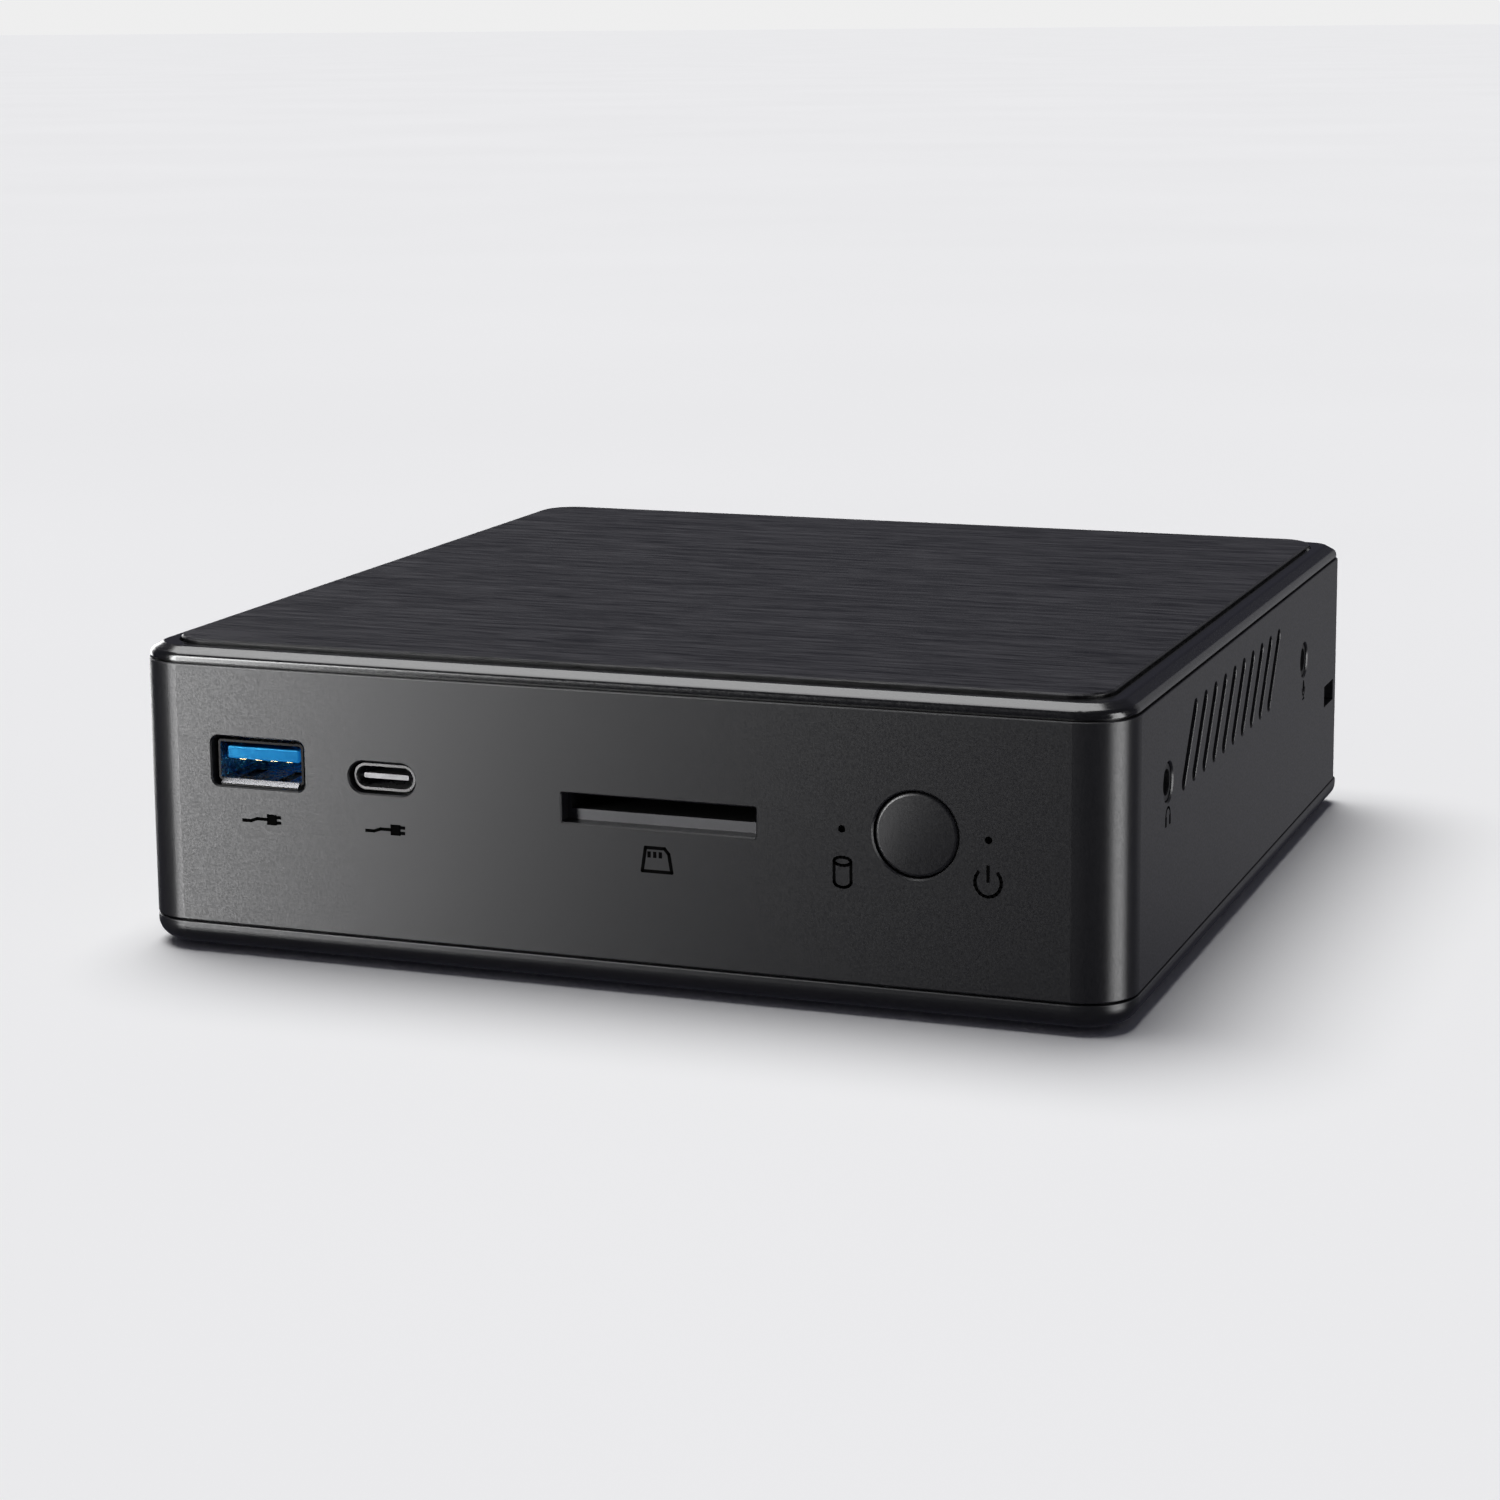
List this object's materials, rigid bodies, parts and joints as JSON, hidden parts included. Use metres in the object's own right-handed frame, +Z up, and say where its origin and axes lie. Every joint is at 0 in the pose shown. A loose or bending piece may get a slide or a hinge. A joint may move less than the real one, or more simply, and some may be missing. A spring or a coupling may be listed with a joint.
{
  "type": "mini pc",
  "caption": "Flat square desktop computer with rounded upright corners, front sockets, a card slot, a round power key and slanted side vents, built with its inner parts.",
  "frame": {"origin": "middle of the footprint, on the surface that the rubber feet stand on", "axes": "+Z up, +X to the right seen from the front, so the front face with the power key looks along -Y; the audio sockets open along +X"},
  "size_m": [0.142, 0.142, 0.0437],
  "materials": {
    "shell_plastic": "fine satin-textured black plastic",
    "lid_plastic": "smooth black plastic with a bright bevel",
    "brushed_inlay": "black anodised, brushed from left to right",
    "cover_plastic": "satin black plastic",
    "key_plastic": "satin black plastic",
    "black_panel": "black powder-coated sheet",
    "bright_steel": "bright nickel-plated stamped steel",
    "plated_steel": "zinc-plated sheet",
    "circuit_board": "green solder mask on epoxy glass",
    "copper": "bare copper",
    "fin_aluminium": "thin bare fins",
    "drive_aluminium": "satin die casting",
    "fan_plastic": "glass-filled black plastic",
    "blue_plastic": "blue moulded plastic",
    "contact_gold": "gold-plated contacts",
    "connector_black": "black moulded plastic",
    "capacitor_can": "bare aluminium cans",
    "lamp_lens": "milky clear plastic",
    "ribbon": "flat white ribbon",
    "foot_rubber": "matte black rubber",
    "screw_steel": "black oxide steel screws"
  },
  "bodies": {
    "case": {"chassis_shell": "shell_plastic", "top_cover": "lid_plastic", "top_plate": "brushed_inlay", "bottom_cover": "cover_plastic", "rear_panel": "black_panel", "vent_screens": "black_panel", "lock_anchor": "plated_steel", "mainboard": "circuit_board", "cpu_package": "circuit_board", "cold_plate": "copper", "heat_pipes": "copper", "fin_stack": "fin_aluminium", "fan_housing": "fan_plastic", "fan_cover": "plated_steel", "chokes": "connector_black", "capacitors": "capacitor_can", "chipset": "connector_black", "front_usb_a_shell": "bright_steel", "front_usb_a_tongue": "blue_plastic", "front_usb_a_contacts": "contact_gold", "front_usb_c_shell": "bright_steel", "front_usb_c_tongue": "plated_steel", "front_socket_risers": "connector_black", "card_reader_base": "connector_black", "card_reader_cover": "bright_steel", "card_contacts": "contact_gold", "tact_switch": "connector_black", "led_pipes": "lamp_lens", "led_chips": "lamp_lens", "audio_jacks": "connector_black", "lan_socket": "bright_steel", "lan_contacts": "contact_gold", "hdmi_shell": "bright_steel", "hdmi_tongue": "connector_black", "display_shell": "bright_steel", "display_tongue": "connector_black", "rear_usb_shell": "bright_steel", "rear_usb_tongues": "connector_black", "power_socket": "connector_black", "power_pin": "contact_gold", "antenna_plugs": "connector_black", "memory_sockets": "connector_black", "memory_modules": "circuit_board", "solid_state_stick": "circuit_board", "stick_socket": "connector_black", "radio_card": "circuit_board", "radio_socket": "connector_black", "coin_cell": "plated_steel", "coin_cell_holder": "connector_black", "storage_drive": "drive_aluminium", "drive_bracket": "plated_steel", "drive_cable": "ribbon", "rubber_feet": "foot_rubber", "bottom_screws": "screw_steel", "board_screws": "screw_steel"},
    "power_key": {"power_button": "key_plastic"},
    "plunger": {"switch_plunger": "connector_black"},
    "blower_wheel": {"fan_rotor": "fan_plastic"},
    "card_catch": {"card_slider": "connector_black"}
  },
  "joints": [
    {"name": "power_key_press", "type": "slide", "parent": "case", "child": "power_key", "axis": [0, 1, 0], "range_m": [0, 0.0005], "stiffness_N_per_m": 3000},
    {"name": "plunger_press", "type": "slide", "parent": "case", "child": "plunger", "axis": [0, 1, 0], "range_m": [0, 0.0005]},
    {"name": "blower_spin", "type": "hinge", "parent": "case", "child": "blower_wheel", "pos_m": [-0.028, -0.012, 0.0315], "axis": [0, 0, 1], "continuous": true},
    {"name": "card_catch_slide", "type": "slide", "parent": "case", "child": "card_catch", "axis": [0, 1, 0], "range_m": [0, 0.003], "stiffness_N_per_m": 300}
  ],
  "couplings": [
    {"joint": "plunger_press", "follows": "power_key_press", "ratio": 1}
  ]
}
